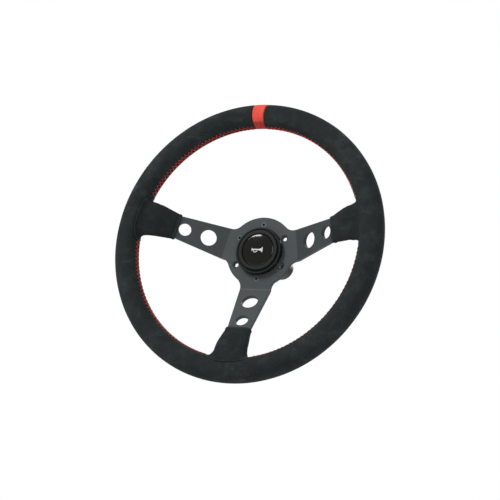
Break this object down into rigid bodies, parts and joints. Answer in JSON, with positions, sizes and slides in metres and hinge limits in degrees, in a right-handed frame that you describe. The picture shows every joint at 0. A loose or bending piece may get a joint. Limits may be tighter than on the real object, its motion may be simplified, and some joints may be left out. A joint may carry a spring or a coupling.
{
  "type": "quick release steering wheel",
  "caption": "Dished steering wheel with bent metal spokes, a suede-covered rim with a marker stripe, a horn button, and a ball-lock splined quick release behind the hub.",
  "frame": {"origin": "centre of the column socket's mouth, on the wheel's axis", "axes": "+Y out of the socket, towards the car's front; the driver is at -Y; +Z towards 12 o'clock; +X to the driver's right"},
  "size_m": [0.35, 0.1445, 0.35],
  "materials": {
    "suede_black": "short-nap suede",
    "suede_red": "short-nap suede",
    "thread_red": "waxed twisted thread",
    "spoke_anodised": "black anodised over a fine brushed grain",
    "hub_screw": "dark zinc plate",
    "core_metal": "mill finish",
    "rim_foam": "moulded integral-skin foam",
    "horn_matte": "satin moulded",
    "horn_gloss": "glossy doming resin",
    "contact_brass": "stamped",
    "spring_steel": "drawn wire",
    "stub_steel": "turned and oiled",
    "black_screw": "black oxide",
    "ball_steel": "polished",
    "release_body": "black anodised, turned",
    "release_collar": "dark anodised, knurled",
    "rubber_ring": "nitrile"
  },
  "bodies": {
    "column": {"column_stub": "stub_steel", "stub_set_screws": "black_screw", "nose_o_ring": "rubber_ring"},
    "wheel": {"qr_body": "release_body", "collar_spring": "spring_steel", "snap_ring": "spring_steel", "spoke_plate": "spoke_anodised", "mounting_screws": "hub_screw", "rim_core": "core_metal", "rim_foam": "rim_foam", "rim_cover_left": "suede_black", "rim_cover_right": "suede_black", "rim_stripe": "suede_red", "boot_left": "suede_black", "boot_right": "suede_black", "boot_lower": "suede_black", "rim_stitching": "thread_red", "boot_stitching": "thread_red", "horn_bezel": "horn_matte", "horn_housing": "horn_matte", "horn_clip": "spring_steel", "horn_fixed_contact": "contact_brass", "horn_terminals": "contact_brass", "horn_springs": "spring_steel"},
    "collar": {"release_collar": "release_collar"},
    "ball_1_body": {"ball_1": "ball_steel"},
    "ball_2_body": {"ball_2": "ball_steel"},
    "ball_3_body": {"ball_3": "ball_steel"},
    "ball_4_body": {"ball_4": "ball_steel"},
    "ball_5_body": {"ball_5": "ball_steel"},
    "ball_6_body": {"ball_6": "ball_steel"},
    "horn_button": {"horn_cap": "horn_matte", "horn_disc": "horn_gloss", "horn_moving_contact": "spring_steel"}
  },
  "joints": [
    {"name": "wheel_pull_off", "type": "slide", "parent": "column", "child": "wheel", "axis": [0, -1, 0], "range_m": [0, 0.07]},
    {"name": "collar_pull", "type": "slide", "parent": "wheel", "child": "collar", "axis": [0, -1, 0], "range_m": [0, 0.005], "stiffness_N_per_m": 1500, "springref_m": -0.006, "deforming": ["collar_spring"]},
    {"name": "horn_press", "type": "slide", "parent": "wheel", "child": "horn_button", "axis": [0, 1, 0], "range_m": [0, 0.0025], "stiffness_N_per_m": 1200, "springref_m": -0.003, "deforming": ["horn_springs"]},
    {"name": "ball_1_out", "type": "slide", "parent": "wheel", "child": "ball_1_body", "axis": [1, 0, 0], "range_m": [0, 0.0017]},
    {"name": "ball_2_out", "type": "slide", "parent": "wheel", "child": "ball_2_body", "axis": [0.5, 0, 0.866], "range_m": [0, 0.0017]},
    {"name": "ball_3_out", "type": "slide", "parent": "wheel", "child": "ball_3_body", "axis": [-0.5, 0, 0.866], "range_m": [0, 0.0017]},
    {"name": "ball_4_out", "type": "slide", "parent": "wheel", "child": "ball_4_body", "axis": [-1, 0, 0], "range_m": [0, 0.0017]},
    {"name": "ball_5_out", "type": "slide", "parent": "wheel", "child": "ball_5_body", "axis": [-0.5, 0, -0.866], "range_m": [0, 0.0017]},
    {"name": "ball_6_out", "type": "slide", "parent": "wheel", "child": "ball_6_body", "axis": [0.5, 0, -0.866], "range_m": [0, 0.0017]}
  ],
  "couplings": [
    {"joint": "ball_1_out", "follows": "collar_pull", "ratio": 0.34},
    {"joint": "ball_2_out", "follows": "collar_pull", "ratio": 0.34},
    {"joint": "ball_3_out", "follows": "collar_pull", "ratio": 0.34},
    {"joint": "ball_4_out", "follows": "collar_pull", "ratio": 0.34},
    {"joint": "ball_5_out", "follows": "collar_pull", "ratio": 0.34},
    {"joint": "ball_6_out", "follows": "collar_pull", "ratio": 0.34}
  ]
}
